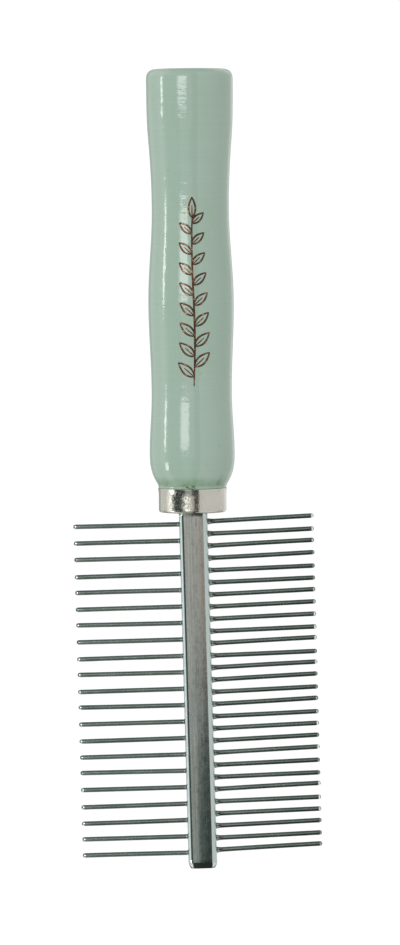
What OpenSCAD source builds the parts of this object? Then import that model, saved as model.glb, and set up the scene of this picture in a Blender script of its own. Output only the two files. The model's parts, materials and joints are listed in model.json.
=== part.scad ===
// Dematting comb: a turned handle, a drawn ferrule, a square-section spine and
// two rows of round pins of different pitch, each pin set in a hole of its own.
//
// The comb's own frame has its axis on Y: the handle on +Y, the head on -Y, the
// flat face of the spine up, and Y = 0 where the handle meets the ferrule.
// The finished part lies on the ground, on the handle's lower bulge and on the
// end of the spine, so its axis slopes. Its two rows are level with each other.

/* [Handle] */
// Length of the handle outside the ferrule
handle_len = 103.8; // [80:0.1:140]
// Radius of the neck that meets the ferrule
neck_r = 8.4; // [8.2:0.05:9]
// Radius of the bulge next to the ferrule
lower_bulge_r = 10.55; // [9.5:0.05:13]
// Radius of the middle bulge
middle_bulge_r = 10.6; // [9.5:0.05:13]
// Radius of the bulge at the butt
butt_bulge_r = 10.75; // [9.5:0.05:13]
// Radius of the waist between the lower and middle bulges
lower_waist_r = 9.95; // [9:0.05:10.4]
// Radius of the waist between the middle bulge and the butt
upper_waist_r = 9.55; // [9:0.05:10.4]
// Rounding of the butt's edge
butt_round = 2; // [1:0.1:4]
// Height of the butt's shallow crown
butt_crown = 0.1; // [0.05:0.05:1]

/* [Ferrule] */
// Length of the ferrule
ferrule_len = 6; // [4:0.1:12]
// Outer radius at the rim next to the handle
ferrule_top_r = 8.6; // [8.2:0.05:9.5]
// Outer radius at the rim next to the spine
ferrule_end_r = 8.4; // [7.8:0.05:9]
// Sheet thickness of the ferrule
ferrule_wall = 0.6; // [0.4:0.05:0.9]

/* [Spine] */
// Length of the spine outside the ferrule
spine_len = 88.8; // [88:0.1:110]
// Width of the spine, from row to row
spine_w = 7.15; // [6:0.05:10]
// Thickness of the spine, from face to face
spine_t = 6; // [5:0.1:9]
// Width of the bevels along the spine's long edges
edge_bevel = 1.2; // [0.6:0.1:1.8]
// Length of the bevel around the spine's free end
end_bevel = 1.6; // [0.5:0.1:2]
// Step from the spine's faces down to the tenon in the ferrule's slot
tenon_step = 0.4; // [0.2:0.05:0.8]
// Angle between the spine and the handle's axis
head_lean = 1.15; // [0:0.05:3]
// Length of the round tang inside the handle
tang_len = 42; // [20:1:60]
// Radius of the tang
tang_r = 2.5; // [2:0.1:2.5]

/* [Pins] */
// Radius of a pin
pin_r = 0.6; // [0.4:0.05:0.8]
// Length of a pin outside the spine
pin_out = 26.3; // [15:0.1:40]
// Depth of a pin's seat in the spine
pin_seat = 2.6; // [1.5:0.1:2.8]
// Length between the first and last pin of a row
row_len = 82; // [60:1:82]
// Number of pins in the coarse row
coarse_count = 21; // [9:1:22]
// Number of pins in the fine row
fine_count = 28; // [12:1:29]
// Distance from the ferrule to the first coarse pin
coarse_start = 3; // [2:0.05:3.2]
// Distance from the ferrule to the first fine pin
fine_start = 2.55; // [2:0.05:3.2]
// How far the coarse row leans towards the handle, in degrees
coarse_lean = -0.1; // [-3:0.1:3]
// How far the fine row leans towards the handle, in degrees
fine_lean = 1.5; // [-3:0.1:3]
// Most that one pin strays from its row, in degrees
pin_stray = 0.5; // [0:0.1:1]

/* [Hidden] */
$fn = 96;

// Facets of a pin, a hole and a tang, which are round all the same
small_fn = 32;

// Gap that the glue fills between the ferrule, the handle's spigot and the tang
glue_gap = 0.1;
// Gap that the solder fills around a pin in its hole
solder_gap = 0.03;
// How far a cutter runs past the face that it opens
overrun = 1;

// Stations along the handle, from the ferrule to the butt
neck_len = 0.7;
lower_bulge_y = 0.082 * handle_len;
lower_waist_y = 0.226 * handle_len;
middle_bulge_y = 0.443 * handle_len;
upper_waist_y = 0.667 * handle_len;
butt_bulge_y = 0.962 * handle_len;
// How quickly the shoulder swells above the neck
shoulder_power = 2.6;
// Steps along each stretch of the handle's outline
swell_steps = 8;
// Steps along each rounded corner
round_steps = 6;
// Radius of the flat spot in the middle of the butt
butt_flat_r = 5;

// The spigot fills the ferrule, and the tang's bore ends in a drill point
spigot_r = ferrule_end_r - ferrule_wall - glue_gap;
spigot_len = ferrule_len - ferrule_wall - glue_gap;
bore_r = tang_r + glue_gap;
bore_len = tang_len + 1;
ferrule_round = 0.6;

// The spine stops just short of the ferrule's floor, by as much as its lean needs
shoulder_y = ferrule_len + spine_w / 2 * sin(head_lean) + solder_gap;
tenon_w = spine_w - 2 * tenon_step;
tenon_t = spine_t - 2 * tenon_step;
tenon_bevel = edge_bevel / 2;
spine_end = ferrule_len + spine_len;
bevel_depth = 0.6 * end_bevel;
coarse_pitch = row_len / (coarse_count - 1);
fine_pitch = row_len / (fine_count - 1);
pin_len = pin_seat + pin_out;

// Each pin's own stray, sideways along the row and up or down from it
coarse_sway = rands(-pin_stray, pin_stray, coarse_count, 2564);
coarse_rise = rands(-pin_stray, pin_stray, coarse_count, 12);
fine_sway = rands(-pin_stray, pin_stray, fine_count, 2837);
fine_rise = rands(-pin_stray, pin_stray, fine_count, 14);

// Points on a smooth swell from one [radius, y] station to the next
function swell(from, to) = [
    for (i = [1 : swell_steps])
        let (ease = (1 - cos(180 * i / swell_steps)) / 2)
        [from[0] + (to[0] - from[0]) * ease, from[1] + (to[1] - from[1]) * i / swell_steps]
];

// Points on the shoulder, which leaves the neck steeply and meets the bulge level
shoulder = [
    for (i = [0 : swell_steps])
        let (along = i / swell_steps, ease = 1 - pow(1 - along, shoulder_power))
        [neck_r + (lower_bulge_r - neck_r) * ease, neck_len + (lower_bulge_y - neck_len) * along]
];

// Points on the butt's rounded edge, up to where the shallow crown begins
butt_edge = [
    for (i = [0 : round_steps])
        let (turn = 90 * i / round_steps)
        [butt_bulge_r - butt_round * (1 - cos(turn)),
         handle_len - butt_crown - butt_round * (1 - sin(turn))]
];

handle_outline = concat(
    [[neck_r, 0]],
    shoulder,
    swell([lower_bulge_r, lower_bulge_y], [lower_waist_r, lower_waist_y]),
    swell([lower_waist_r, lower_waist_y], [middle_bulge_r, middle_bulge_y]),
    swell([middle_bulge_r, middle_bulge_y], [upper_waist_r, upper_waist_y]),
    swell([upper_waist_r, upper_waist_y], [butt_bulge_r, butt_bulge_y]),
    butt_edge,
    [[butt_flat_r, handle_len]]
);

// The comb lies on the spine's back edge, where the bevel starts, and on the handle
rest_edge_y = spine_end - end_bevel;
rest_tilt = max([for (p = handle_outline) atan2(p[0] - spine_t / 2, p[1] + rest_edge_y)]);
rest_z = rest_edge_y * sin(rest_tilt) + spine_t / 2 * cos(rest_tilt);

// Middle of the whole comb as it lies, seen from above
butt_reach = max([for (p = handle_outline) p[1] * cos(rest_tilt) + p[0] * sin(rest_tilt)]);
head_reach = spine_end * cos(rest_tilt);
mid_y = (butt_reach - head_reach) / 2;
row_reach = spine_w / 2 + pin_out;
fine_reach = row_reach + (ferrule_len + fine_start + row_len) * sin(head_lean);
coarse_reach = row_reach - (ferrule_len + coarse_start) * sin(head_lean);
mid_x = (fine_reach - coarse_reach) / 2;

function two_digits(n) = str(n < 10 ? "0" : "", n);
function coarse_name(i) = str("coarse_pin_", two_digits(i + 1));
function fine_name(i) = str("fine_pin_", two_digits(i + 1));

// Lays the comb's own frame on the ground
module laid() {
    translate([-mid_x, -mid_y, rest_z]) rotate([rest_tilt, 0, 0]) children();
}

// The frame of the head, which leans from the handle's axis at the neck
module on_head() {
    rotate([0, 0, head_lean]) children();
}

// Turns a shape made along +Z so that it runs along +Y, or along -Y
module along_handle() {
    rotate([-90, 0, 0]) children();
}
module along_spine() {
    rotate([90, 0, 0]) children();
}

// Rectangle with bevelled corners, centred
module bevelled_rectangle(w, t, bevel) {
    intersection() {
        square([w, t], center = true);
        rotate(45) square((w + t) / sqrt(2) - sqrt(2) * bevel, center = true);
    }
}

// Moves to the foot of a pin: side is -1 for the coarse row and 1 for the fine row
module at_pin(side, station, lean, rise) {
    translate([side * (spine_w / 2 - pin_seat), -ferrule_len - station, 0])
        rotate([0, side * (90 - rise), side * lean])
            children();
}

module at_coarse_pin(i) {
    at_pin(-1, coarse_start + i * coarse_pitch, coarse_lean + coarse_sway[i], coarse_rise[i])
        children();
}

module at_fine_pin(i) {
    at_pin(1, fine_start + i * fine_pitch, fine_lean + fine_sway[i], fine_rise[i])
        children();
}

// A round pin with a domed tip
module pin() {
    color([0.38, 0.42, 0.40])
        rotate_extrude($fn = small_fn)
            polygon(concat(
                [[0, 0], [pin_r, 0]],
                [for (i = [0 : round_steps])
                    let (turn = 90 * i / round_steps)
                    [pin_r * cos(turn), pin_len - pin_r * (1 - sin(turn))]]
            ));
}

// The hole that a pin sits in, drilled along the pin and open at the spine's side
module pin_hole() {
    translate([0, 0, -solder_gap])
        cylinder(r = pin_r + solder_gap, h = pin_seat + overrun, $fn = small_fn);
}

module coarse_pin(i) {
    laid() on_head() at_coarse_pin(i) pin();
}

module fine_pin(i) {
    laid() on_head() at_fine_pin(i) pin();
}

// The bore for the tang, drilled along the head's axis from the spigot's end
module tang_bore() {
    translate([0, -spigot_len - overrun, 0]) along_handle() {
        cylinder(r = bore_r, h = spigot_len + overrun + bore_len, $fn = small_fn);
        translate([0, 0, spigot_len + overrun + bore_len])
            cylinder(r1 = bore_r, r2 = 0, h = bore_r / 2, $fn = small_fn);
    }
}

// Turned handle with a spigot for the ferrule
module handle() {
    color([0.60, 0.69, 0.61]) laid() difference() {
        along_handle() rotate_extrude() polygon(concat(
            [[0, -spigot_len], [spigot_r, -spigot_len], [spigot_r, 0]],
            handle_outline,
            [[0, handle_len]]
        ));
        on_head() tang_bore();
    }
}

// Drawn cup with a slot in its floor for the spine
module ferrule() {
    inner_top_r = ferrule_top_r - ferrule_wall;
    inner_end_r = ferrule_end_r - ferrule_wall;
    color([0.76, 0.73, 0.69]) laid() difference() {
        along_spine() rotate_extrude() polygon(concat(
            [[ferrule_top_r, 0]],
            [for (i = [0 : round_steps])
                let (turn = 90 * i / round_steps)
                [ferrule_end_r - ferrule_round * (1 - cos(turn)),
                 ferrule_len - ferrule_round * (1 - sin(turn))]],
            [[0, ferrule_len], [0, ferrule_len - ferrule_wall]],
            [[inner_end_r, ferrule_len - ferrule_wall], [inner_top_r, 0]]
        ));
        on_head() along_spine()
            translate([0, 0, ferrule_len - ferrule_wall - overrun])
                linear_extrude(ferrule_wall + 2 * overrun)
                    bevelled_rectangle(tenon_w + glue_gap, tenon_t + glue_gap, tenon_bevel);
    }
}

// One wedge that bevels an edge of the spine's end, on the side where +Y points
module bevel_cut(half_depth) {
    translate([0, half_depth, spine_end])
        rotate([0, 90, 0])
            linear_extrude(2 * spine_w, center = true)
                polygon([
                    [end_bevel, 0],
                    [end_bevel, overrun],
                    [-overrun, overrun],
                    [-overrun, -bevel_depth * (1 + overrun / end_bevel)]
                ]);
}

// Square-section spine with its pin holes, a bevelled end, a tenon and a round tang
module spine_bar() {
    color([0.54, 0.55, 0.51]) laid() on_head() {
        difference() {
            along_spine() difference() {
                translate([0, 0, shoulder_y])
                    linear_extrude(spine_end - shoulder_y)
                        bevelled_rectangle(spine_w, spine_t, edge_bevel);
                for (turn = [0, 180]) {
                    rotate([0, 0, turn]) bevel_cut(spine_t / 2);
                    rotate([0, 0, turn + 90]) bevel_cut(spine_w / 2);
                }
            }
            for (i = [0 : coarse_count - 1]) at_coarse_pin(i) pin_hole();
            for (i = [0 : fine_count - 1]) at_fine_pin(i) pin_hole();
        }
        along_spine() translate([0, 0, spigot_len + glue_gap])
            linear_extrude(shoulder_y - spigot_len)
                bevelled_rectangle(tenon_w, tenon_t, tenon_bevel);
        translate([0, -shoulder_y, 0]) along_handle()
            cylinder(r = tang_r, h = shoulder_y + tang_len, $fn = small_fn);
    }
}

handle();
ferrule();
spine_bar();
for (i = [0 : coarse_count - 1]) {
    coarse_pin(i);
}
for (i = [0 : fine_count - 1]) {
    fine_pin(i);
}
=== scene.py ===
import json
import math

import bpy
import numpy as np
from mathutils import Matrix, Vector, noise


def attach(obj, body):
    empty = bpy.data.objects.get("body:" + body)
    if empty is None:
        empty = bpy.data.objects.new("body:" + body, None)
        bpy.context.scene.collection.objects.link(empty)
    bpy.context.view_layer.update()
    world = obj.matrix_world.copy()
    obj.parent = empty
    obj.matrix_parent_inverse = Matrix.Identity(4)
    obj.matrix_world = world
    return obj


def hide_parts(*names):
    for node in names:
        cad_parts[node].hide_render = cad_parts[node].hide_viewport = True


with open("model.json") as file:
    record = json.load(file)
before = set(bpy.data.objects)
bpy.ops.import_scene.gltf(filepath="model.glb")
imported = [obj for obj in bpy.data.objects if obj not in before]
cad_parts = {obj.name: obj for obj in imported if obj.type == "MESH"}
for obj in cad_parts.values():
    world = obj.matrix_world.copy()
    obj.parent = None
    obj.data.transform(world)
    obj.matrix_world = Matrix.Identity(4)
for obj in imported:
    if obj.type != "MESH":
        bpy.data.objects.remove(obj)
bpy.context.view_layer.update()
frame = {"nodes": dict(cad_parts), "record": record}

MM = 0.001

# The looks of a two-sided pet comb: a lacquered handle with a foil sprig, a nickel
# ferrule, a brushed spine and two rows of pins. Each CAD node is replaced by a finer
# mesh, whose outline and place come from the node. The sprig lies on the handle's mesh.

# ---------------------------------------------------------------- the comb's own frame
# x runs across towards the fine row, y along the handle's axis towards its butt, and z
# out of the spine's front. The origin is on the handle's axis at the ferrule's upper rim.
# The head has a frame of its own, with the same origin, which leans from the handle's.

MOUNTS = {mount["name"]: mount for mount in frame["record"]["mounts"]}


def comb_axes():
    """The comb's x, y and z directions in the row frame, as the columns of a matrix."""
    along = Vector(MOUNTS["handle_butt"]["axis"]).normalized()
    up = Vector(MOUNTS["spine_front"]["axis"]).normalized()
    return Matrix((along.cross(up), along, up)).transposed()


def cad_points(node):
    """A CAD node's points in the row frame."""
    return np.array([vertex.co for vertex in frame["nodes"][node].data.vertices])


def points_in(matrix, node):
    """A CAD node's points in the frame that the matrix places."""
    turn = np.array(matrix.to_3x3())
    return (cad_points(node) - np.array(matrix.translation)) @ turn


def place_of_comb():
    """The matrix that places the comb's frame in the row frame."""
    turn = comb_axes()
    butt = Vector(MOUNTS["handle_butt"]["pos_m"])
    along = Vector(turn.col[1])
    rim = (cad_points("ferrule") @ np.array(along)).max()
    origin = butt - along * (butt.dot(along) - rim)
    return Matrix.Translation(origin) @ turn.to_4x4()


def middle_x(points, near_y):
    """Middle of the x range of the points within 0.3 mm of a station."""
    close = points[np.abs(points[:, 1] - near_y) < 0.3 * MM]
    return (close[:, 0].min() + close[:, 0].max()) / 2


def place_of_head():
    """The matrix that places the head's frame, in which the spine runs along y."""
    points = points_in(COMB, "spine_bar")
    low, high = points[:, 1].min(), points[:, 1].max()
    lean = math.atan2(middle_x(points, high) - middle_x(points, low), high - low)
    return COMB @ Matrix.Rotation(-lean, 4, "Z")


def spine_size():
    """Half width, half thickness and free end of the CAD spine, in the head's frame."""
    points = points_in(HEAD, "spine_bar")
    return points[:, 0].max(), points[:, 2].max(), points[:, 1].min()


COMB = place_of_comb()
HEAD = place_of_head()
HALF_W, HALF_T, SPINE_END = spine_size()
FERRULE_FLOOR = points_in(COMB, "ferrule")[:, 1].min()
PIN_REACH = points_in(HEAD, "fine_pin_01")[:, 0].max()

# ---------------------------------------------------------------- mesh helpers

AXIS_CLEAR = 0.5 * MM


def wave(x, y, z, scale):
    """Smooth noise from -1 to 1, with features of about 1 / scale."""
    return noise.noise(Vector((x * scale, y * scale, z * scale)))


def add_piece(name, vertices, faces, place, material, replaces=()):
    """Makes a smooth-shaded mesh, places it and gives it its body and material slot."""
    mesh = bpy.data.meshes.new(name)
    mesh.from_pydata([tuple(v) for v in vertices], [], faces)
    mesh.polygons.foreach_set("use_smooth", [True] * len(mesh.polygons))
    mesh.validate()
    mesh.materials.append(material)
    piece = bpy.data.objects.new(name, mesh)
    bpy.context.scene.collection.objects.link(piece)
    piece.matrix_world = place
    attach(piece, "root")
    if replaces:
        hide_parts(*replaces)
    return piece


def skin(rings):
    """Vertices and faces of a tube through rings of equal length, with fans over its ends."""
    count = len(rings[0])
    vertices = [point for ring in rings for point in ring]
    faces = []
    for row in range(len(rings) - 1):
        for i in range(count):
            a, b = row * count + i, row * count + (i + 1) % count
            faces.append((a, b, b + count, a + count))
    vertices.append(tuple(np.mean(rings[0], axis=0)))
    vertices.append(tuple(np.mean(rings[-1], axis=0)))
    hub, far_hub, first = len(vertices) - 2, len(vertices) - 1, (len(rings) - 1) * count
    faces += [(hub, (i + 1) % count, i) for i in range(count)]
    faces += [(far_hub, first + i, first + (i + 1) % count) for i in range(count)]
    return vertices, faces


def evenly(outline, step):
    """Points along an outline, a step apart."""
    outline = np.array(outline, float)
    lengths = np.hypot(*np.diff(outline, axis=0).T)
    travel = np.concatenate([[0], np.cumsum(lengths)])
    count = max(2, int(round(travel[-1] / step)) + 1)
    at = np.linspace(0, travel[-1], count)
    return np.column_stack([np.interp(at, travel, outline[:, k]) for k in (0, 1)])


def softened(outline, passes):
    """An outline with its corners eased by averaging, and its two ends held."""
    eased = np.array(outline)
    for _ in range(passes):
        eased[1:-1] = (eased[:-2] + 2 * eased[1:-1] + eased[2:]) / 4
    return eased


def arc(centre, radius, start, end, steps):
    """Points on an arc in a (station, radius) outline, with angles in degrees."""
    turns = np.radians(np.linspace(start, end, steps))
    return [(centre[0] + radius * math.sin(t), centre[1] + radius * math.cos(t)) for t in turns]


def turned(outline, sides, relief):
    """Rings of a turned shape about y. relief(angle, station) is added to the radius,
    except close to the axis, where it would fold the mesh."""
    rings = []
    for station, radius in outline:
        ring = []
        for i in range(sides):
            angle = 2 * math.pi * i / sides
            r = radius + (relief(angle, station) if radius > AXIS_CLEAR else 0)
            ring.append((r * math.sin(angle), station, r * math.cos(angle)))
        rings.append(ring)
    return rings


# ---------------------------------------------------------------- node trees


class Graph:
    """Builds a node tree with short calls. A value is a socket, a number or a colour."""

    def __init__(self, tree):
        self.tree = tree

    def node(self, kind, **settings):
        """A new node of the kind, with its settings."""
        made = self.tree.nodes.new(kind)
        for key, value in settings.items():
            setattr(made, key, value)
        return made

    def feed(self, socket, value):
        """Links a socket to another, or sets its own value."""
        if isinstance(value, bpy.types.NodeSocket):
            self.tree.links.new(value, socket)
        elif socket.type == "RGBA":
            socket.default_value = (*value, 1)
        else:
            socket.default_value = value

    def math(self, operation, first, second=0.0):
        """One arithmetic step. An operation on one value ignores the second."""
        made = self.node("ShaderNodeMath", operation=operation)
        self.feed(made.inputs[0], first)
        self.feed(made.inputs[1], second)
        return made.outputs[0]

    def product(self, first, *others):
        """All the values multiplied."""
        for other in others:
            first = self.math("MULTIPLY", first, other)
        return first

    def total(self, first, *others):
        """All the values added."""
        for other in others:
            first = self.math("ADD", first, other)
        return first

    def range(self, value, low, high, to_low=0.0, to_high=1.0, kind="LINEAR"):
        """The value, mapped from low..high to to_low..to_high, and held at its ends."""
        made = self.node("ShaderNodeMapRange", interpolation_type=kind)
        limits = {"From Min": low, "From Max": high, "To Min": to_low, "To Max": to_high}
        for name, limit in limits.items():
            made.inputs[name].default_value = limit
        self.feed(made.inputs["Value"], value)
        return made.outputs["Result"]

    def step(self, value, low, high):
        """0 below low and 1 above high, with a smooth rise between."""
        return self.range(value, low, high, kind="SMOOTHSTEP")

    def fall(self, value, low, high):
        """1 below low and 0 above high, with a smooth fall between."""
        return self.range(value, low, high, 1.0, 0.0, "SMOOTHSTEP")

    def band(self, value, edges):
        """1 from the second edge to the third, and 0 outside the first and the fourth."""
        return self.product(self.step(value, *edges[:2]), self.fall(value, *edges[2:]))

    def mix(self, factor, first, second):
        """The first colour at factor 0, and the second at 1."""
        made = self.node("ShaderNodeMix", data_type="RGBA")
        self.feed(made.inputs[0], factor)
        self.feed(made.inputs[6], first)
        self.feed(made.inputs[7], second)
        return made.outputs[2]

    def parts(self, vector):
        """The x, y and z of a vector."""
        made = self.node("ShaderNodeSeparateXYZ")
        self.feed(made.inputs[0], vector)
        return made.outputs


class Surface(Graph):
    """A material's node tree, in the piece's own coordinates. A keyword names a socket of
    the shader, with _ for each space."""

    def __init__(self, name, **settings):
        self.material = bpy.data.materials.new(name)
        self.material.use_nodes = True
        super().__init__(self.material.node_tree)
        self.shader = self.tree.nodes["Principled BSDF"]
        for key, value in settings.items():
            self.feed(self.shader.inputs[key.replace("_", " ")], value)
        self.place = self.node("ShaderNodeTexCoord").outputs["Object"]

    def stretched(self, scale):
        """The piece's coordinates, multiplied axis by axis."""
        mapping = self.node("ShaderNodeMapping")
        mapping.inputs["Scale"].default_value = scale
        self.feed(mapping.inputs["Vector"], self.place)
        return mapping.outputs["Vector"]

    def noise(self, scale, detail=3, rough=0.5, stretch=(1, 1, 1)):
        """Smooth noise from 0 to 1. The stretch multiplies the scale, axis by axis."""
        made = self.node("ShaderNodeTexNoise")
        for name, value in {"Scale": scale, "Detail": detail, "Roughness": rough}.items():
            made.inputs[name].default_value = value
        self.feed(made.inputs["Vector"], self.stretched(stretch))
        return made.outputs["Fac"]

    def spots(self, scale):
        """Distance to the nearest of many scattered points, in cells."""
        made = self.node("ShaderNodeTexVoronoi")
        made.inputs["Scale"].default_value = scale
        self.feed(made.inputs["Vector"], self.place)
        return made.outputs["Distance"]

    def bump(self, height, depth, below=None):
        """A normal from a height of 0 to 1 that stands for a depth, over another normal."""
        made = self.node("ShaderNodeBump")
        made.inputs["Distance"].default_value = depth
        self.feed(made.inputs["Height"], height)
        if below is not None:
            self.feed(made.inputs["Normal"], below)
        return made.outputs["Normal"]

    def finish(self, **looks):
        """Feeds the shader, and gives the finished material."""
        for key, value in looks.items():
            self.feed(self.shader.inputs[key.replace("_", " ")], value)
        return self.material


# ---------------------------------------------------------------- handle

HANDLE_STEP = 0.3 * MM
HANDLE_SIDES = 240
HANDLE_EASING = 4
CAP_RINGS = 8
BORE_LIMIT = 4 * MM
SWELL, SWELL_LENGTH = 0.0084 * MM, 22 * MM
RIPPLE, RIPPLE_LENGTH = 0.0042 * MM, 2.6 * MM
BULGE_MORE, BULGE_AT, BULGE_SPREAD = 0.11 * MM, 89.5 * MM, 5 * MM


def outer_outline(node, least_radius, from_y):
    """(station, radius) of a turned CAD node's outside past a station, in order along y.
    Points within the least radius, as in a bore, are left out."""
    points = points_in(COMB, node)
    radii = np.hypot(points[:, 0], points[:, 2])
    kept = (radii > least_radius) & (points[:, 1] > from_y)
    stations = np.round(points[kept, 1], 6)
    return [(y, radii[kept][stations == y].max()) for y in np.unique(stations)]


def handle_relief(angle, station):
    """Unevenness of the lacquer: slow swells, short ripples, and a fuller upper bulge."""
    x, z = math.sin(angle), math.cos(angle)
    swell = noise.noise(Vector((x * 0.9, station / SWELL_LENGTH, z * 0.9)))
    ripple = noise.noise(Vector((x * 2.2 + 7, station / RIPPLE_LENGTH, z * 2.2)))
    fuller = BULGE_MORE * math.exp(-(((station - BULGE_AT) / BULGE_SPREAD) ** 2))
    return SWELL * swell + RIPPLE * ripple + fuller


HANDLE_OUTLINE = outer_outline("handle", BORE_LIMIT, -0.01 * MM)
HANDLE_BODY = softened(evenly(HANDLE_OUTLINE, HANDLE_STEP), HANDLE_EASING)


def make_handle(material):
    """The turned handle from its neck to its butt, closed by a flat cap."""
    butt, flat_r = HANDLE_OUTLINE[-1]
    cap = [(butt, flat_r * k / CAP_RINGS) for k in range(CAP_RINGS - 1, 0, -1)]
    rings = turned(list(HANDLE_BODY) + cap, HANDLE_SIDES, handle_relief)
    vertices, faces = skin(rings)
    return add_piece("handle_lacquered", vertices, faces, COMB, material,
                     ["handle"])


# ---------------------------------------------------------------- foil ornament
# A plain leafy sprig stamped along the handle. Its outline is drawn on the unrolled
# surface: u is the distance around the handle, and v the station along it. Places on the
# stem go from 0 at its foot to 1 at its tip. Sizes without MM are shares of the full one.

SPRIG_FOOT = 25.5 * MM
SPRIG_TIP = 71.5 * MM
SPRIG_U = 0.6 * MM
SPRIG_SWAY = 0.3 * MM
STROKE = 0.5 * MM
FOIL_LIFT = 0.022 * MM
FOIL_SUNK = 0.04 * MM
LEAF_PAIRS = 8
LEAF_LENGTH = 5.4 * MM
LEAF_WIDTH = 2.1 * MM
LEAF_ANGLE = 48
TIP_LEAF = (0.95, 0.8)
STEM_END, TIP_LEAF_AT = 0.93, 0.9
FIRST_LEAF_AT, LEAVES_SPAN = 0.05, 0.82
LEAF_SHRINK = 0.3
RIB_LENGTH, RIB_STROKE, RIB_LIFT = 0.62, 0.6, 0.6
LEAF_LIFT = 0.8
STROKE_SECTION = ((-1, 0.6), (-0.75, 1), (0, 1.1), (0.75, 1), (1, 0.6))
STROKE_END = 0.45
STEM_POINTS, LEAF_POINTS = 60, 15
LEAF_BELLY = 0.85


def on_handle(u, v, lift):
    """A point over the handle's surface, in the comb's frame."""
    radius = np.interp(v, HANDLE_BODY[:, 0], HANDLE_BODY[:, 1])
    angle = u / radius
    r = radius + handle_relief(angle, v) + lift
    return r * math.sin(angle), v, r * math.cos(angle)


def foil_stroke(path, width, lift):
    """Vertices and faces of a thin raised strip along a path of (u, v) points. Its width
    tapers to its two ends, and its underside is sunk in the lacquer."""
    path = np.array(path)
    along = np.gradient(path, axis=0)
    along /= np.hypot(along[:, 0], along[:, 1])[:, None]
    rings = []
    for i, ((u, v), (du, dv)) in enumerate(zip(path, along)):
        fullness = math.sin(math.pi * i / (len(path) - 1)) ** 0.4
        half = width / 2 * (STROKE_END + (1 - STROKE_END) * fullness)
        top = [(side, lift * share) for side, share in STROKE_SECTION]
        section = [(-1, -FOIL_SUNK), *top, (1, -FOIL_SUNK)]
        rings.append([on_handle(u + dv * half * side, v - du * half * side, height)
                      for side, height in section])
    return skin(rings)


def stem_point(t):
    """The stem, as a shallow double curve from the foot to the tip."""
    return (SPRIG_U + SPRIG_SWAY * math.sin(2 * math.pi * t),
            SPRIG_FOOT + (SPRIG_TIP - SPRIG_FOOT) * t)


def leaf_edge(foot, length, width, degrees, side):
    """One edge of an almond-shaped leaf, from its foot to its point."""
    turn = math.radians(degrees)
    ahead, across = (math.sin(turn), math.cos(turn)), (math.cos(turn), -math.sin(turn))
    edge = []
    for t in np.linspace(0, 1, LEAF_POINTS):
        out = side * width / 2 * math.sin(math.pi * t ** LEAF_BELLY)
        edge.append((foot[0] + ahead[0] * length * t + across[0] * out,
                     foot[1] + ahead[1] * length * t + across[1] * out))
    return edge


def make_sprig(material):
    """The stem, its leaves in alternating pairs with a rib in each, and a leaf at the tip."""
    stem = [stem_point(t) for t in np.linspace(0, STEM_END, STEM_POINTS)]
    strokes = [(stem, STROKE, FOIL_LIFT)]
    longer, wider = TIP_LEAF
    leaves = [(stem_point(TIP_LEAF_AT), LEAF_LENGTH * longer, LEAF_WIDTH * wider, 0)]
    for k in range(2 * LEAF_PAIRS):
        t = FIRST_LEAF_AT + LEAVES_SPAN * k / (2 * LEAF_PAIRS - 1)
        size = 1 - LEAF_SHRINK * t
        side = 1 if k % 2 else -1
        leaves.append((stem_point(t), LEAF_LENGTH * size, LEAF_WIDTH * size, side * LEAF_ANGLE))
    for foot, length, width, degrees in leaves:
        for side in (-1, 1):
            edge = leaf_edge(foot, length, width, degrees, side)
            strokes.append((edge, STROKE, FOIL_LIFT * LEAF_LIFT))
        rib = leaf_edge(foot, length * RIB_LENGTH, 0, degrees, 1)
        strokes.append((rib, STROKE * RIB_STROKE, FOIL_LIFT * RIB_LIFT))
    vertices, faces = [], []
    for path, width, lift in strokes:
        more_vertices, more_faces = foil_stroke(path, width, lift)
        faces += [tuple(len(vertices) + i for i in face) for face in more_faces]
        vertices += more_vertices
    return add_piece("foil_sprig", vertices, faces, COMB, material)


# ---------------------------------------------------------------- ferrule

FERRULE_SIDES = 240
FERRULE_RADIUS = 8.4 * MM
RIM_ROUND = 0.14 * MM
CORNER_ROUND = 0.6 * MM
FLARE = 1.8 * MM
FERRULE_STEP = 0.15 * MM
RIM_TUCK = (0.3 * MM, 0.5 * MM)
RIM_INNER = (0.02 * MM, 2.2 * RIM_ROUND)
DENT_ANGLE = math.radians(-56)
DENT_ABOVE_FLOOR = 0.35 * MM
DENT_SIZE = 0.5 * MM
DENT_DEPTH = 0.14 * MM
SHEET_WAVE, SHEET_WAVE_LENGTH = 0.010 * MM, 2.4 * MM
SHEET_RIPPLE, SHEET_RIPPLE_LENGTH = 0.004 * MM, 1.1 * MM


def ferrule_relief(angle, station):
    """Soft waves in the thin sheet, and one small dent at the lower corner."""
    x, z = math.sin(angle), math.cos(angle)
    waves = noise.noise(Vector((x * 4.5, station / SHEET_WAVE_LENGTH, z * 4.5 + 3)))
    ripple = noise.noise(Vector((x * 11, station / SHEET_RIPPLE_LENGTH, z * 11 + 9)))
    around = (angle - 2 * math.pi - DENT_ANGLE) * FERRULE_RADIUS
    away = math.hypot(around, station - FERRULE_FLOOR - DENT_ABOVE_FLOOR)
    dent = DENT_DEPTH * math.exp(-((away / DENT_SIZE) ** 2))
    return SHEET_WAVE * waves + SHEET_RIPPLE * ripple - dent


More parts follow.
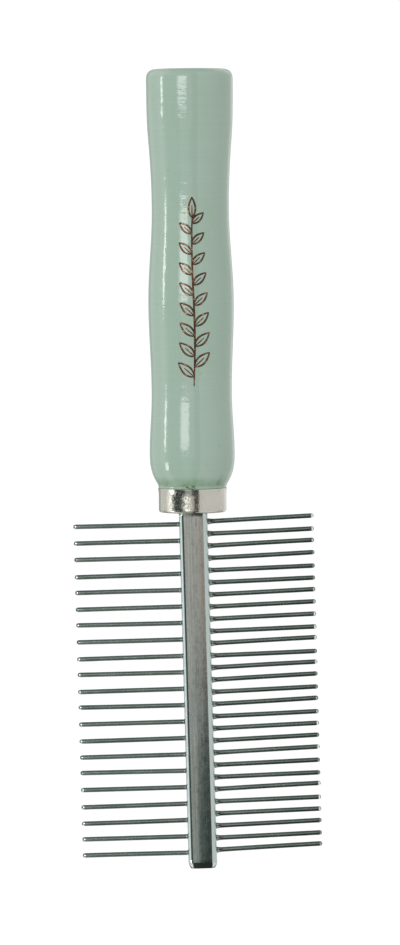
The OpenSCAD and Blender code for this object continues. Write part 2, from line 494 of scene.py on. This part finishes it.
def make_ferrule(material):
    """The plated cup: a tucked-in rounded rim, a flare below it, and a rounded floor."""
    points = points_in(COMB, "ferrule")
    radii = np.hypot(points[:, 0], points[:, 2])
    low = FERRULE_FLOOR
    top_r, end_r = radii.max(), radii[points[:, 1] < low + 1 * MM].max()
    outline = [(-below, top_r - inward) for below, inward in (RIM_TUCK, RIM_INNER)]
    outline += arc((-RIM_ROUND, top_r - RIM_ROUND), RIM_ROUND, 90, 0, 6)
    body_end = low + CORNER_ROUND
    for station in np.arange(-2 * RIM_ROUND, body_end, -FERRULE_STEP):
        flare = max(0, 1 + station / FLARE) ** 2
        outline.append((station, end_r + (top_r - end_r) * flare))
    outline += arc((body_end, end_r - CORNER_ROUND), CORNER_ROUND, 0, -90, 12)
    outline += [(low, end_r * k) for k in (0.8, 0.6, 0.4)]
    rings = turned(outline, FERRULE_SIDES, ferrule_relief)
    vertices, faces = skin(rings)
    faces = [tuple(reversed(face)) for face in faces]
    return add_piece("ferrule_plated", vertices, faces, COMB, material,
                     ["ferrule"])


# ---------------------------------------------------------------- spine

SPINE_STEP = 0.6 * MM
EDGE_BEVEL = 1.2 * MM
EDGE_BENDS = ((0.3, 0, 8), (1.0, 8, 34), (2.13, 34, 56), (1.0, 56, 82), (0.3, 82, 90))
FACE_CROWN = 0.05 * MM
FACE_WAVE, FACE_WAVE_SCALE, FACE_WAVE_LONGER = 0.008 * MM, 420, 0.25
END_BEVEL = 1.6 * MM
END_DEPTH = 0.95 * MM
SIDE_DEPTH = 0.55 * MM
BEAD = 0.28 * MM
BEAD_RINGS, BEAD_STEP = 6, 0.12 * MM
END_RINGS = 8
END_HOLLOW = 0.3


def bevelled_corner():
    """A corner of the section, as offsets from its start: a nearly flat facet, eased into
    the faces on both sides.

    Each bend is a radius in millimetres and the directions that it turns between."""
    offsets = [(0.0, 0.0)]
    for radius, start, end in EDGE_BENDS:
        turns = np.radians(np.linspace(start, end, 7))
        for a, b in zip(turns, turns[1:]):
            x, z = offsets[-1]
            offsets.append((x + radius * MM * (math.cos(b) - math.cos(a)),
                            z + radius * MM * (math.sin(b) - math.sin(a))))
    return offsets


CORNER = bevelled_corner()
CORNER_SIZE = CORNER[-1][1]


def bevelled_section(half_w, half_t):
    """A rectangle with bevelled corners and slightly crowned flats, anticlockwise about y."""
    flat_w, flat_t = half_w - CORNER_SIZE, half_t - CORNER_SIZE
    section = []
    for quarter, (reach, top, flat, next_flat) in enumerate(
            ((half_w, half_t, flat_t, flat_w), (half_t, half_w, flat_w, flat_t)) * 2):
        side = [(reach + dx, flat + dz) for dx, dz in CORNER]
        for t in np.linspace(1, -1, 16)[1:-1]:
            side.append((t * next_flat, top + FACE_CROWN * (1 - t * t)))
        for _ in range(quarter):
            side = [(-z, x) for x, z in side]
        section += side
    return section


def make_spine(material):
    """The bar from inside the ferrule, with a bead of solder there, to its bevelled end.

    A station's swell is what is added to the half width and the half thickness."""
    stations = [FERRULE_FLOOR + 0.5 * MM, FERRULE_FLOOR]
    swells = [(BEAD, BEAD)] * 2
    for k in range(1, BEAD_RINGS + 1):
        stations.append(FERRULE_FLOOR - BEAD_STEP * k)
        swells.append((BEAD * (1 - k / BEAD_RINGS) ** 2,) * 2)
    straight = np.arange(stations[-1] - SPINE_STEP, SPINE_END + END_BEVEL + 0.1 * MM, -SPINE_STEP)
    stations += list(straight) + [SPINE_END + END_BEVEL]
    swells += [(0, 0)] * (len(straight) + 1)
    for k in range(1, END_RINGS + 1):
        along = k / END_RINGS
        stations.append(SPINE_END + END_BEVEL * (1 - along))
        sink = along + END_HOLLOW * along * (along - 1)
        swells.append((-SIDE_DEPTH * along ** 2, -END_DEPTH * sink))
    rings = []
    for y, (swell_x, swell_z) in zip(stations, swells):
        ring = []
        for x, z in bevelled_section(HALF_W - FACE_CROWN + swell_x, HALF_T - FACE_CROWN + swell_z):
            relief = FACE_WAVE * wave(x, y * FACE_WAVE_LONGER, z, FACE_WAVE_SCALE)
            scale = 1 + relief / math.hypot(x, z)
            ring.append((x * scale, y, z * scale))
        rings.append(ring)
    vertices, faces = skin(rings)
    return add_piece("spine_brushed", vertices, faces, HEAD, material,
                     ["spine_bar"])


# ---------------------------------------------------------------- pins

PIN_SIDES = 24
PIN_RADIUS = 0.6 * MM
PIN_UNEVEN, PIN_UNEVEN_LENGTH = 0.03, 1.9 * MM
PIN_BOW = 0.06 * MM
PIN_HIDDEN = (0.5 * MM, 0.1 * MM)  # depths in the spine of a pin's first rings
FILLETS = {"coarse": (0.12 * MM, 0.5 * MM), "fine": (0.20 * MM, 2.2 * MM)}
TAPER_LENGTH, TAPER_STEPS, TAPER_STEEPEST = 0.42 * MM, 5, 20
TIP_ROUND, TIP_STEEPEST = 0.4 * MM, 88


def pin_ends(node, side):
    """Middle of a CAD pin's seated end and of its tip, in the head's frame."""
    points = points_in(HEAD, node)
    reach = points[:, 0] * side
    seat = points[reach < reach.min() + 0.1 * MM].mean(axis=0)
    tip = points[reach > reach.max() - 0.02 * MM].mean(axis=0)
    return Vector(seat), Vector(tip)


def pin_outline(radius, length, fillet, reach):
    """(distance, radius) along a pin: its solder fillet, its length, a taper whose slope
    grows in steps, and a blunt round tip. The fillet is a height and a reach."""
    outline = [(-depth, radius + fillet) for depth in PIN_HIDDEN]
    outline += [(reach * t, radius + fillet * (1 - t) ** 3) for t in np.linspace(0, 1, 8)]
    slopes = np.radians(np.linspace(0, TAPER_STEEPEST, TAPER_STEPS + 1))
    taper_start = length - TIP_ROUND * (1 - math.sin(slopes[-1])) - TAPER_LENGTH
    outline += [(y, radius) for y in np.linspace(reach, taper_start, 14)[1:]]
    step = TAPER_LENGTH / TAPER_STEPS
    for slope in slopes[1:]:
        y, r = outline[-1]
        outline.append((y + step, r - step * math.tan(slope)))
    shoulder = outline[-1][1]
    for turn in np.radians(np.linspace(TAPER_STEEPEST, TIP_STEEPEST, 8)[1:]):
        outline.append((length - TIP_ROUND * (1 - math.sin(turn)),
                        shoulder - TIP_ROUND * (math.cos(slopes[-1]) - math.cos(turn))))
    return outline


def make_pin(name, node, side, seed, fillet, material):
    """A slightly bowed pin, in the head's frame, from inside the spine to its tip."""
    seat, tip = pin_ends(node, side)
    along = (tip - seat).normalized()
    across = Vector((0, 0, 1)).cross(along).normalized()
    up = along.cross(across)
    foot = seat + along * ((HALF_W - seat.x * side) / (along.x * side))
    length = (tip - foot).length
    bow = [PIN_BOW * noise.noise(Vector((seed * 3.7, k * 5.1, 0.5))) for k in (1, 2)]
    rings = []
    for s, r in pin_outline(PIN_RADIUS, length, *fillet):
        sway = math.sin(math.pi * max(s, 0) / length)
        centre = foot + along * s + across * bow[0] * sway + up * bow[1] * sway
        r *= 1 + PIN_UNEVEN * noise.noise(Vector((seed * 1.3, s / PIN_UNEVEN_LENGTH, 2)))
        rings.append([centre + across * r * math.cos(a) + up * r * math.sin(a)
                      for a in np.linspace(0, 2 * math.pi, PIN_SIDES, endpoint=False)])
    vertices, faces = skin(rings)
    return add_piece(name, vertices, faces, HEAD, material, [node])


def make_pins(material):
    """Both rows, pin by pin, in the places of their CAD nodes."""
    for row, side in (("coarse", -1), ("fine", 1)):
        nodes = sorted(n for n in frame["nodes"] if n.startswith(row + "_pin_"))
        for i, node in enumerate(nodes):
            seed = i + (100 if side > 0 else 0)
            make_pin(f"steel_{node}", node, side, seed, FILLETS[row], material)


# ---------------------------------------------------------------- materials
# Colours are linear. Noise scales are per metre, so 1000 gives features of about 1 mm.
# MOST is the part of its 0 to 1 that a smooth noise nearly always keeps to. The neck's
# painted shade, the x of the painted shade patches above the ferrule and the tips' painted
# highlight are bands: start, full, full, end. The tips' two, the painted highlight and
# the painted dark end, are measured back from the pins' reach.

MOST = (0.3, 0.7)

# The lacquer's tones and specks, and two greens of painted shade: the neck's, and the patches' just
# above the ferrule.
SAGE, SAGE_LIGHT = (0.288, 0.392, 0.318), (0.307, 0.408, 0.343)
SAGE_CLOUD, SAGE_RING = (0.315, 0.413, 0.348), (0.272, 0.372, 0.300)
SPECK, NECK_SHADE_GREEN, JOINT_SHADE_GREEN = (0.240, 0.330, 0.190), (0.168, 0.270, 0.166), (0.070, 0.150, 0.070)
NECK_SHADE = (0.45 * MM, 0.8 * MM, 1.1 * MM, 3.6 * MM)
JOINT_SHADE_X = (-2.8 * MM, -1.6 * MM, 0.2 * MM, 1.1 * MM)
JOINT_SHADE_Y = (0.7 * MM, 1.6 * MM)
TURNING_DEPTH, SAG_DEPTH, PEEL_DEPTH = 0.016 * MM, 0.045 * MM, 0.024 * MM

NICKEL, NICKEL_HAZY = (0.580, 0.570, 0.515), (0.520, 0.505, 0.450)
DIMPLE_DEPTH, GRAIN_DEPTH = 0.015 * MM, 0.011 * MM

# The spine's colours: brushed lines, grime with painted shade, a painted dark teal reflection,
# polished bevels and an end face painted near black as shade.
LINE_DARK, LINE_LIGHT = (0.350, 0.362, 0.338), (0.590, 0.595, 0.553)
LINE_BROAD = (0.400, 0.410, 0.385)
GRIME_AND_SHADE, PAINTED_REFLECTION_TEAL = (0.225, 0.245, 0.225), (0.200, 0.260, 0.255)
BEVEL_STEEL, END_FACE_SHADE = (0.500, 0.575, 0.570), (0.058, 0.072, 0.063)
GRIME_SHADE_FROM, GRIME_SHADE_TO = -75 * MM, -30 * MM
GRIME_AND_SHADE_THIN_LEFT = (-1.7 * MM, -0.5 * MM)
REFLECTION_FROM, REFLECTION_TO = -70 * MM, -35 * MM
REFLECTION_EDGE, REFLECTION_RAGGED = (-0.75 * MM, -0.45 * MM), 0.35 * MM
BRUSHED_DEPTH, MOTTLE_DEPTH = 0.003 * MM, 0.010 * MM

# The pins' colours, with a painted highlight behind each tip and its very end painted dark as shade.
WIRE, WIRE_DULL, WIRE_OUTER = (0.320, 0.370, 0.345), (0.240, 0.290, 0.268), (0.100, 0.130, 0.122)
WIRE_TIP_HIGHLIGHT, WIRE_END_SHADE = (0.880, 0.900, 0.880), (0.120, 0.145, 0.135)
OUTER_FROM, OUTER_TO = 8 * MM, 24 * MM
TIP_HIGHLIGHT = (0.74 * MM, 0.64 * MM, 0.24 * MM, 0.18 * MM)
TIP_HIGHLIGHT_SIDES = (0.40 * MM, 0.49 * MM)
TIP_END_SHADE = (0.26 * MM, 0.16 * MM)
WIRE_DEPTH = 0.0005 * MM

# The foil's colours: dark copper, and paler metal that stands for wear and painted glints.
FOIL, FOIL_WEAR_AND_GLINT = (0.100, 0.044, 0.028), (0.380, 0.250, 0.165)
FOIL_DEPTH = 0.006 * MM


def lacquer():
    """Sage-green gloss lacquer on turned wood.

    The tone drifts, with soft clouds, turning rings and specks. The neck is darker with
    painted shade, and dark green patches of painted shade lie on its front just above the
    ferrule. The gloss shows turning marks, slow sags and a fine orange peel."""
    s = Surface("sage_lacquer", Specular_IOR_Level=0, Coat_Weight=1, Coat_Roughness=0.06)
    colour = s.mix(s.range(s.noise(60, 2), *MOST), SAGE, SAGE_LIGHT)
    cloud = s.range(s.noise(420, 4, 0.6), 0.35, 0.75, 0, 0.5)
    colour = s.mix(cloud, colour, SAGE_CLOUD)
    rings = s.range(s.noise(1, 3, 0.6, stretch=(40, 2600, 40)), 0.35, 0.7, 0, 0.35)
    colour = s.mix(rings, colour, SAGE_RING)
    colour = s.mix(s.range(s.spots(230), 0.04, 0.09, 0.6, 0), colour, SPECK)
    x, y, z = s.parts(s.place)
    # Painted shade: the neck darkens to a deeper green just above the ferrule.
    neck = s.product(s.band(y, NECK_SHADE), s.range(s.noise(500, 3), *MOST, 0.5, 0.95))
    colour = s.mix(neck, colour, NECK_SHADE_GREEN)
    # Painted shade: dark green patches on the handle's front just above the ferrule.
    joint_shade = s.product(s.band(x, JOINT_SHADE_X), s.fall(y, *JOINT_SHADE_Y), s.step(z, 0, MM))
    joint_shade = s.product(joint_shade, s.range(s.noise(1500, 3, 0.6), 0.42, 0.56))
    colour = s.mix(joint_shade, colour, JOINT_SHADE_GREEN)
    normal = s.bump(s.noise(1, 3, 0.6, stretch=(60, 1300, 60)), TURNING_DEPTH)
    normal = s.bump(s.noise(1, 2, 0.5, stretch=(320, 380, 320)), SAG_DEPTH, normal)
    normal = s.bump(s.noise(750, 2, 0.5), PEEL_DEPTH, normal)
    roughness = s.range(s.noise(500, 3), *MOST, 0.4, 0.52)
    return s.finish(Base_Color=colour, Roughness=roughness, Normal=normal, Coat_Normal=normal)


def nickel():
    """Polished nickel plate with a warm cast, handling haze, and dimples with a fine grain."""
    s = Surface("ferrule_nickel", Metallic=1)
    haze = s.range(s.noise(350, 4, 0.6), 0.3, 0.75)
    roughness = s.range(s.noise(2700, 3, 0.6), 0.42, 0.61, 0.07, 0.27)
    normal = s.bump(s.noise(800, 2, 0.5), DIMPLE_DEPTH)
    normal = s.bump(s.noise(2800, 2, 0.5), GRAIN_DEPTH, normal)
    return s.finish(Base_Color=s.mix(haze, NICKEL, NICKEL_HAZY), Roughness=roughness, Normal=normal)


def on_bevel(s, coordinate, half):
    """0 on a face's flat part and 1 where a bevel has begun, by |coordinate|."""
    start = half - EDGE_BEVEL
    return s.step(s.math("ABSOLUTE", coordinate), start - 0.05 * MM, start + 0.1 * MM)


def brushed_steel():
    """Spine steel: lines along the faces, polished bevels and a dull, sawn end that is
    painted near black as shade.

    Grime flecks gather towards the free end, and painted shade darkens them more there,
    though less on the left, which stays lighter. Towards the free end the right is painted
    a dark teal reflection, with a ragged edge between the two."""
    s = Surface("spine_brushed_steel", Metallic=1)
    x, y, z = s.parts(s.place)
    bevel = s.product(on_bevel(s, x, HALF_W), on_bevel(s, z, HALF_T))
    end = SPINE_END + END_BEVEL
    # Painted shade: the end faces are dull and painted near black.
    sawn = s.product(s.fall(y, end - 0.1 * MM, end + 0.05 * MM), s.range(bevel, 0, 1, 1, 0))
    lines = s.noise(1, 4, 0.65, stretch=(4200, 45, 4200))
    broad = s.noise(1, 2, 0.5, stretch=(1400, 60, 1400))
    # Grime flecks with painted shade: more towards the free end, and thinner on the left, which
    # stays lighter.
    grime_and_shade = s.range(s.noise(1, 4, 0.7, stretch=(1500, 480, 1500)), 0.51, 0.60, 0, 0.7)
    grime_and_shade = s.product(grime_and_shade, s.range(y, GRIME_SHADE_FROM, GRIME_SHADE_TO, 1, 0.45))
    grime_and_shade = s.product(grime_and_shade, s.range(x, *GRIME_AND_SHADE_THIN_LEFT, 0.3, 1))
    # Painted dark reflection: towards the free end, the right of the face is painted dark teal, with
    # a ragged edge.
    ragged = s.noise(1, 4, 0.7, stretch=(900, 260, 900))
    ragged = s.range(ragged, *MOST, -REFLECTION_RAGGED, REFLECTION_RAGGED)
    painted_reflection = s.step(s.math("ADD", x, ragged), *REFLECTION_EDGE)
    painted_reflection = s.product(painted_reflection, s.range(y, REFLECTION_FROM, REFLECTION_TO, 0.5, 0))
    colour = s.mix(s.range(lines, *MOST), LINE_DARK, LINE_LIGHT)
    colour = s.mix(s.range(broad, 0.35, 0.7, 0, 0.5), colour, LINE_BROAD)
    colour = s.mix(grime_and_shade, colour, GRIME_AND_SHADE)
    colour = s.mix(painted_reflection, colour, PAINTED_REFLECTION_TEAL)
    colour = s.mix(bevel, colour, BEVEL_STEEL)
    colour = s.mix(sawn, colour, END_FACE_SHADE)
    roughness = s.product(s.range(lines, *MOST, 0.07, 0.12), s.range(bevel, 0, 1, 1, 0.6))
    roughness = s.total(roughness, s.product(sawn, 0.2))
    keep = s.range(bevel, 0, 1, 1, 0.3)
    normal = s.bump(s.product(lines, keep), BRUSHED_DEPTH)
    mottle = s.noise(1, 3, 0.6, stretch=(1500, 520, 1500))
    normal = s.bump(s.product(mottle, keep), MOTTLE_DEPTH, normal)
    return s.finish(Base_Color=colour, Roughness=roughness, Normal=normal)


def pin_steel():
    """Drawn pin wire: smooth grey-green, with faint lengthwise marks.

    The fine row darkens outwards. Each tip has its very end painted dark as shade, and
    behind it a painted highlight on its front and its back."""
    s = Surface("pin_steel", Metallic=1)
    x, _, z = s.parts(s.place)
    out, up = s.math("ABSOLUTE", x), s.math("ABSOLUTE", z)
    # Painted highlight: a bright band behind each tip, on its front and its back.
    tip_highlight = s.product(
        s.band(out, [PIN_REACH - away for away in TIP_HIGHLIGHT]),
        s.step(up, *TIP_HIGHLIGHT_SIDES),
    )
    # Painted shade: the very end of each tip is painted dark.
    end = s.step(out, *[PIN_REACH - away for away in TIP_END_SHADE])
    patches = s.range(s.noise(1, 3, 0.6, stretch=(130, 300, 300)), 0.35, 0.7)
    colour = s.mix(patches, WIRE, WIRE_DULL)
    colour = s.mix(s.range(x, OUTER_FROM, OUTER_TO, 0, 0.3), colour, WIRE_OUTER)
    colour = s.mix(tip_highlight, colour, WIRE_TIP_HIGHLIGHT)
    colour = s.mix(end, colour, WIRE_END_SHADE)
    roughness = s.range(s.noise(1, 3, stretch=(160, 1400, 1400)), *MOST, 0.12, 0.20)
    normal = s.bump(s.noise(1, 2, 0.5, stretch=(70, 700, 700)), WIRE_DEPTH)
    return s.finish(Base_Color=colour, Roughness=roughness, Normal=normal)


def copper_foil():
    """Stamped copper-brown foil, with paler metal in places that stands for wear and for
    painted glints.
    """
    s = Surface("copper_foil", Metallic=0.8)
    # Paler patches: wear, and painted glints.
    colour = s.mix(s.range(s.noise(900, 4, 0.7), 0.52, 0.68), FOIL, FOIL_WEAR_AND_GLINT)
    roughness = s.range(s.noise(3000, 2), *MOST, 0.25, 0.42)
    normal = s.bump(s.noise(2500, 2), FOIL_DEPTH)
    return s.finish(Base_Color=colour, Roughness=roughness, Normal=normal)


# ---------------------------------------------------------------- studio

FLOOR_SIZE = 6
FLOOR_GLOW = 0.98
CAMERA_AT = (0.000905, -0.0321, 1.25)
CAMERA_AIM = (0.000905, -0.000742, 0)
CAMERA_LENS = 190.3
CAMERA_ROLL = -0.445
CAMERA_SENSOR = 36
KEY_AT = (-0.52, 0.1, 1.05)
KEY_SIZE = 0.7
KEY_POWER = 6.2


def make_floor():
    """A pale floor that glows evenly. Mirrors see the world's ground instead of it."""
    s = Surface("floor_white", Roughness=0.9, Base_Color=(0.08, 0.08, 0.08),
                Emission_Color=(1, 1, 1), Emission_Strength=FLOOR_GLOW)
    half = FLOOR_SIZE / 2
    mesh = bpy.data.meshes.new("floor")
    mesh.from_pydata([(-half, -half, 0), (half, -half, 0), (half, half, 0), (-half, half, 0)],
                     [], [(0, 1, 2, 3)])
    mesh.materials.append(s.material)
    floor = bpy.data.objects.new("floor", mesh)
    bpy.context.scene.collection.objects.link(floor)
    floor.visible_glossy = False


def make_key():
    """A soft light from the upper left. Mirrors see the world's lamps instead of it."""
    light = bpy.data.lights.new("key", "AREA")
    light.size = KEY_SIZE
    light.energy = KEY_POWER
    lamp = bpy.data.objects.new("key", light)
    lamp.location = KEY_AT
    lamp.rotation_euler = (-Vector(KEY_AT)).to_track_quat("-Z", "Y").to_euler()
    lamp.visible_camera = False
    lamp.visible_glossy = False
    bpy.context.scene.collection.objects.link(lamp)


def make_camera():
    """The photograph's view, from almost straight above."""
    data = bpy.data.cameras.new("camera")
    data.lens = CAMERA_LENS
    data.sensor_width = CAMERA_SENSOR
    data.clip_start = 0.01
    camera = bpy.data.objects.new("camera", data)
    look = (Vector(CAMERA_AIM) - Vector(CAMERA_AT)).to_track_quat("-Z", "Y")
    roll = Matrix.Rotation(math.radians(CAMERA_ROLL), 4, "Z")
    camera.matrix_world = Matrix.Translation(CAMERA_AT) @ look.to_matrix().to_4x4() @ roll
    bpy.context.scene.collection.objects.link(camera)
    bpy.context.scene.camera = camera


# What gloss and metal mirror, by direction. Turn is the angle from the zenith towards +x,
# and dip the angle towards the comb's head, both in degrees. A band is its (start, full,
# full, end) in turn or in dip, and a pair is where a rise or a fall starts and ends. A
# level is a brightness.
STRIP, STRIP_DIPS, STRIP_LEVEL = (-83.5, -81, -77.5, -75), (-14, -6, 0.8, 2.8), 8.5
GLINT, GLINT_DIPS, GLINT_LEVEL = (-84, -80, -73, -69), (10.5, 12.5, 22, 25), 8
BOX, BOX_DIPS, BOX_LEVEL = (-37, -26, -11, -5), (-14, -6, 3.6, 5.2), 5.4
LEFT_WALL, LEFT_LEVEL = (-150, -135, -80, -62), 0.80
EDGE_LIGHT, EDGE_LEVEL = (-100, -94, -82, -76), 0.35
RIGHT_WALL, RIGHT_LEVEL = (19, 25, 150, 165), 0.80
GROUND_TURN, GROUND_LEVEL = (135, 160), 0.5
OVERHEAD, OVERHEAD_LEVEL, OVERHEAD_MORE = (-30, -24, 3, 8), 0.42, 0.18
DIM = 0.09
OVERHEAD_DIPS = (7.5, 11.5)
SHADOW_FROM, SHADOW_SLANT, SHADE = 10.45, 4.2, 0.94
SHADOW_EDGE, SHADOW_DIPS, SHADOW_TURNS = (-0.5, 1), (9, 10), (-2.2, -1.2)
MIDDLE_DIP, NEAR_DIPS, WALL_DIPS, SIDE_DIPS = 8, (28, 45), (55, 75), (22, 34)
AHEAD_DIPS, NARROW = (15, 45), (0.3, 0.6)
BEHIND_LEVEL, SIDE_LEVEL = 0.33, 0.32
AHEAD_LEFT, AHEAD_RIGHT, AHEAD_SPLIT = 0.5, 0.02, 0.015
TEAL, OLIVE, OLIVE_DIPS = (0.80, 1.0, 0.95), (0.93, 1.0, 0.86), (30, 50)
WARM, WARM_LEVELS = (1.0, 0.995, 0.975), (0.3, 0.7)
BROWN, BROWN_TURNS, BROWN_DIPS = (1.2, 1.0, 0.86), (2, 5, 15, 20), (9, 10)
WORLD_LIGHT = 0.74


def studio_level(g, x, turn, dip):
    """Brightness: lamps and gaps near the middle, walls, and fills ahead, behind, beside."""
    away = g.math("ABSOLUTE", g.math("SUBTRACT", dip, MIDDLE_DIP))
    across = g.math("ABSOLUTE", x)
    near = g.fall(away, *NEAR_DIPS)
    slant = g.total(turn, g.product(g.math("SUBTRACT", dip, SHADOW_FROM), SHADOW_SLANT))
    shadow = g.product(g.step(slant, *SHADOW_EDGE), g.step(dip, *SHADOW_DIPS))
    shadow = g.product(shadow, g.step(turn, *SHADOW_TURNS))
    overhead = g.total(OVERHEAD_LEVEL, g.product(g.fall(dip, *OVERHEAD_DIPS), OVERHEAD_MORE))
    above = g.total(
        DIM,
        g.product(g.band(turn, OVERHEAD), overhead, g.range(shadow, 0, 1, 1, 1 - SHADE)),
        g.product(g.band(turn, STRIP), g.band(dip, STRIP_DIPS), STRIP_LEVEL),
        g.product(g.band(turn, GLINT), g.band(dip, GLINT_DIPS), GLINT_LEVEL),
        g.product(g.band(turn, BOX), g.band(dip, BOX_DIPS), BOX_LEVEL),
    )
    walls = g.total(
        g.product(g.band(turn, LEFT_WALL), LEFT_LEVEL),
        g.product(g.band(turn, EDGE_LIGHT), EDGE_LEVEL),
        g.product(g.band(turn, RIGHT_WALL), RIGHT_LEVEL),
        g.product(g.step(g.math("ABSOLUTE", turn), *GROUND_TURN), GROUND_LEVEL),
    )
    behind = g.product(g.fall(dip, *AHEAD_DIPS), BEHIND_LEVEL)
    ahead = g.range(x, 0, AHEAD_SPLIT, AHEAD_LEFT, AHEAD_RIGHT)
    ahead = g.product(g.step(dip, *AHEAD_DIPS), ahead)
    around = g.product(g.range(near, 0, 1, 1, 0), g.total(behind, ahead), g.fall(across, *NARROW))
    sides = g.product(g.step(away, *SIDE_DIPS), g.step(across, *NARROW), SIDE_LEVEL)
    return g.total(g.product(near, above), g.product(g.fall(away, *WALL_DIPS), walls), around, sides)


def mirrored_studio(g):
    """Colour and brightness of the studio as gloss and metal mirror it."""
    x, y, z = g.parts(g.node("ShaderNodeTexCoord").outputs["Generated"])
    turn = g.product(g.math("ARCTAN2", x, z), 180 / math.pi)
    dip = g.product(g.math("ARCSINE", y), -180 / math.pi)
    level = studio_level(g, x, turn, dip)
    dark_tint = g.mix(g.step(dip, *OLIVE_DIPS), TEAL, OLIVE)
    tint = g.mix(g.step(level, *WARM_LEVELS), dark_tint, WARM)
    brown = g.product(g.band(turn, BROWN_TURNS), g.fall(dip, *BROWN_DIPS))
    return g.mix(brown, tint, BROWN), level


def make_world():
    """Even white light, and for mirrors a studio with lamps, pale walls and dark gaps."""
    world = bpy.data.worlds.new("studio")
    world.use_nodes = True
    world.cycles.sampling_method = "NONE"
    bpy.context.scene.world = world
    world.node_tree.nodes.clear()
    g = Graph(world.node_tree)
    even = g.node("ShaderNodeBackground")
    g.feed(even.inputs["Color"], (1, 1, 1))
    g.feed(even.inputs["Strength"], WORLD_LIGHT)
    tint, level = mirrored_studio(g)
    mirrored = g.node("ShaderNodeBackground")
    g.feed(mirrored.inputs["Color"], tint)
    g.feed(mirrored.inputs["Strength"], level)
    choice = g.node("ShaderNodeMixShader")
    g.feed(choice.inputs[0], g.node("ShaderNodeLightPath").outputs["Is Glossy Ray"])
    g.feed(choice.inputs[1], even.outputs[0])
    g.feed(choice.inputs[2], mirrored.outputs[0])
    g.feed(g.node("ShaderNodeOutputWorld").inputs[0], choice.outputs[0])


# ---------------------------------------------------------------- build

bpy.context.scene.view_settings.view_transform = "Standard"
make_camera()
make_floor()
make_world()
make_key()
make_handle(lacquer())
make_sprig(copper_foil())
make_ferrule(nickel())
make_spine(brushed_steel())
make_pins(pin_steel())
